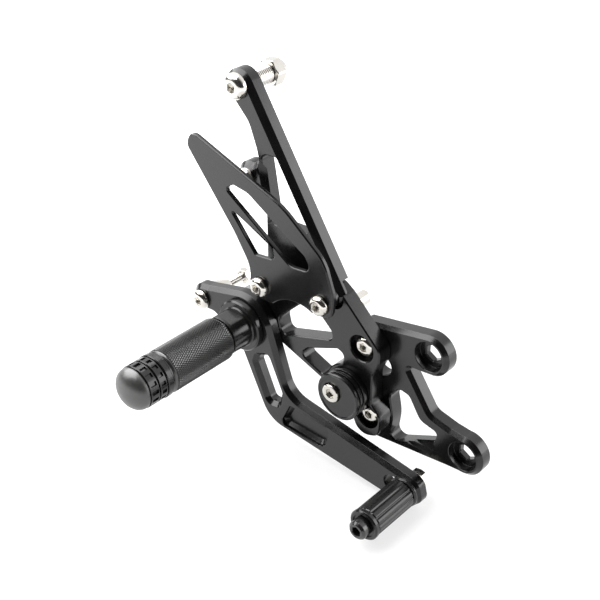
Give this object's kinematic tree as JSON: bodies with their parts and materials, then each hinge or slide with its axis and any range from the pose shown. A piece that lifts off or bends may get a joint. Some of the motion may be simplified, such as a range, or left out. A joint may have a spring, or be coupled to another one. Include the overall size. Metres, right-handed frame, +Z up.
{
  "type": "motorcycle rear-set foot peg",
  "caption": "Machined motorcycle rear-set: knurled foot peg, hinged brake pedal with adjustable toe peg, heel guard, eccentric pedal stop and a bracket that bolts to the frame.",
  "frame": {"origin": "centre of the bracket's upper frame-bolt hole, on the face that lies against the frame", "axes": "+Z up; +Y from the rider's boot towards the motorcycle's frame, along the foot peg's axis; +X towards the toe end of the brake pedal"},
  "size_m": [0.2328, 0.1594, 0.2592],
  "materials": {
    "black_anodised": "satin black anodised, machined",
    "peg_anodised": "black anodised, knurled and turned",
    "stainless": "bright stainless",
    "black_steel": "black oxide",
    "bronze": "sintered bronze"
  },
  "bodies": {
    "frame_side": {"main_bracket": "black_anodised", "carrier_plate": "black_anodised", "upper_arm": "black_anodised", "heel_guard": "black_anodised", "carrier_bolt_upper": "stainless", "carrier_bolt_lower": "stainless", "guard_bolt_left": "stainless", "guard_bolt_right": "stainless", "guard_spacer_left": "black_anodised", "guard_spacer_right": "black_anodised", "arm_bolt_top": "stainless", "arm_spacer_top": "stainless", "arm_nut_top": "stainless", "arm_bolt_lower": "stainless", "arm_nut_lower": "stainless", "rear_post": "stainless", "peg_base": "peg_anodised", "peg_barrel": "peg_anodised", "peg_end_cap": "peg_anodised", "peg_bolt": "black_steel", "stop_screw": "stainless"},
    "pedal": {"pedal_arm": "black_anodised", "pivot_bush": "bronze", "rod_bolt": "stainless", "rod_spacer": "stainless", "rod_nut": "stainless"},
    "toe_mount": {"toe_bolt": "black_steel", "toe_washer": "peg_anodised", "toe_collar": "peg_anodised", "toe_nut_washer": "stainless", "toe_nut": "stainless"},
    "toe_roller": {"toe_sleeve": "peg_anodised"},
    "stop": {"stop_disc": "black_anodised", "stop_spacer": "black_anodised"}
  },
  "joints": [
    {"name": "pedal_pivot", "type": "hinge", "parent": "frame_side", "child": "pedal", "pos_m": [-0.1385, -0.0273, -0.0255], "axis": [0, 1, 0], "range_deg": [-5, 15]},
    {"name": "toe_peg_adjust", "type": "slide", "parent": "pedal", "child": "toe_mount", "axis": [1, 0, 0], "range_m": [-0.011, 0]},
    {"name": "toe_roller_spin", "type": "hinge", "parent": "toe_mount", "child": "toe_roller", "pos_m": [0.004, -0.05325, -0.0925], "axis": [0, 1, 0], "continuous": true},
    {"name": "stop_turn", "type": "hinge", "parent": "frame_side", "child": "stop", "pos_m": [-0.0575, -0.0282, -0.043], "axis": [0, 1, 0], "continuous": true}
  ]
}
